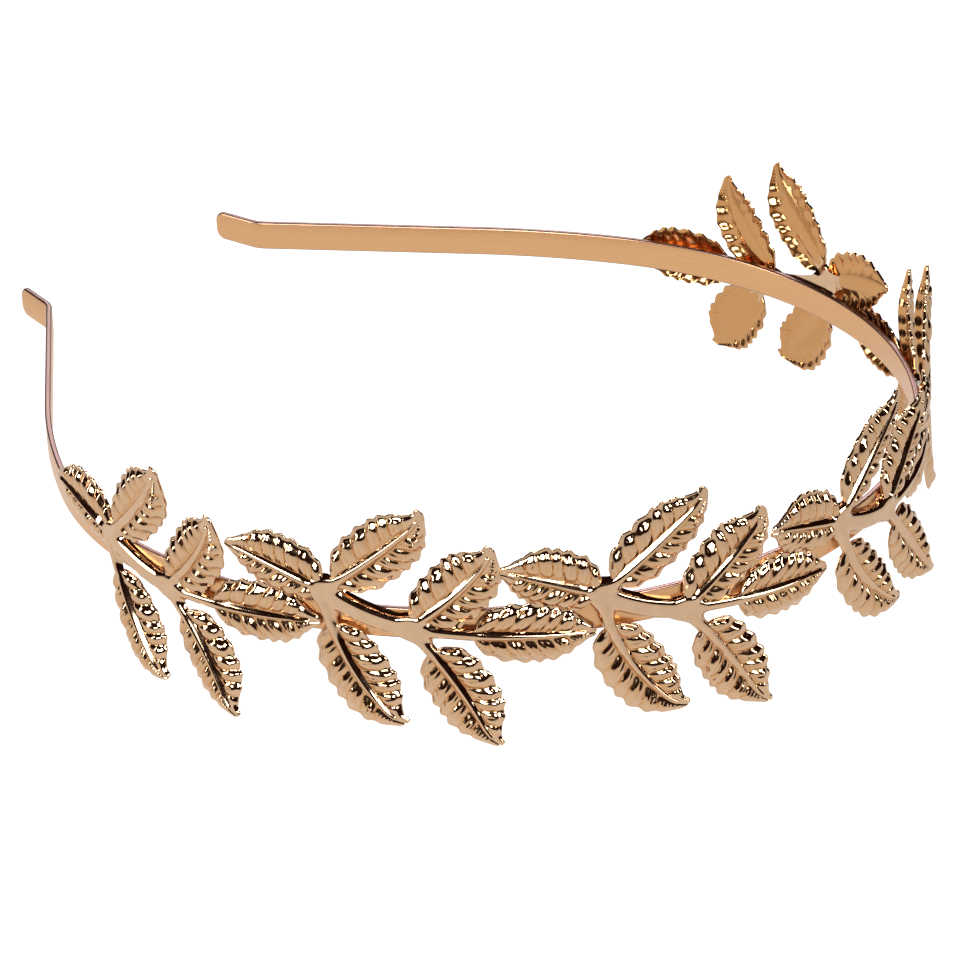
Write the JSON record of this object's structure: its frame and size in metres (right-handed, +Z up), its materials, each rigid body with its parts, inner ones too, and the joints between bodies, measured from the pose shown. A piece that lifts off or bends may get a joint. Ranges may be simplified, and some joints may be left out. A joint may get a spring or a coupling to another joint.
{
  "type": "laurel leaf headband",
  "caption": "Springy flat metal band, open behind the head, with a row of stamped leaf sprays soldered along its outside.",
  "frame": {"origin": "on the surface that the headband stands on, midway between its outermost points in plan", "axes": "+Z up, which is up on the wearer too; -Y towards the front of the head; +X to the wearer's left; the band lies level"},
  "size_m": [0.1464, 0.166, 0.0399],
  "materials": {
    "gold_plating": "pale gold plating, polished on the leaves and satin on the band"
  },
  "bodies": {
    "root": {"headband": "gold_plating"}
  },
  "joints": []
}
